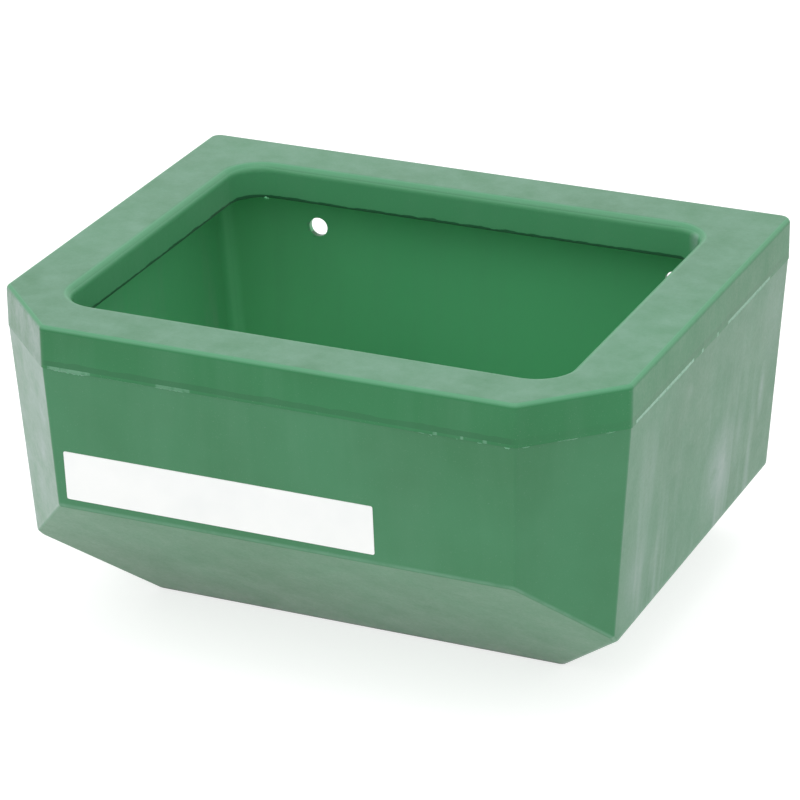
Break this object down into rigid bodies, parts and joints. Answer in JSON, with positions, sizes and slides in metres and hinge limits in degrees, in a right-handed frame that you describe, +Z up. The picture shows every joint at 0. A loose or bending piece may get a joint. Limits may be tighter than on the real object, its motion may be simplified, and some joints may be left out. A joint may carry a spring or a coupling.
{
  "type": "foal feeder",
  "caption": "Wall-hung plastic feeder hopper for foals, with cut front corners, bevelled underside and an overhanging anti-waste collar round the mouth.",
  "frame": {"origin": "middle of the outer box in plan, at the underside of the flat base", "axes": "+X across the front to the right as the front is seen, +Y to the wall, +Z up; the front faces -Y"},
  "size_m": [0.5, 0.418, 0.274],
  "materials": {
    "green_polyethylene": "semi-matte moulded polyethylene, lightly mottled",
    "seam_plastic": "rough, a little paler than the mouldings",
    "label_film": "blank white film, satin"
  },
  "bodies": {
    "root": {"feeder_bin": "green_polyethylene", "anti_waste_collar": "green_polyethylene", "seam_bead": "seam_plastic", "front_label": "label_film"}
  },
  "joints": []
}
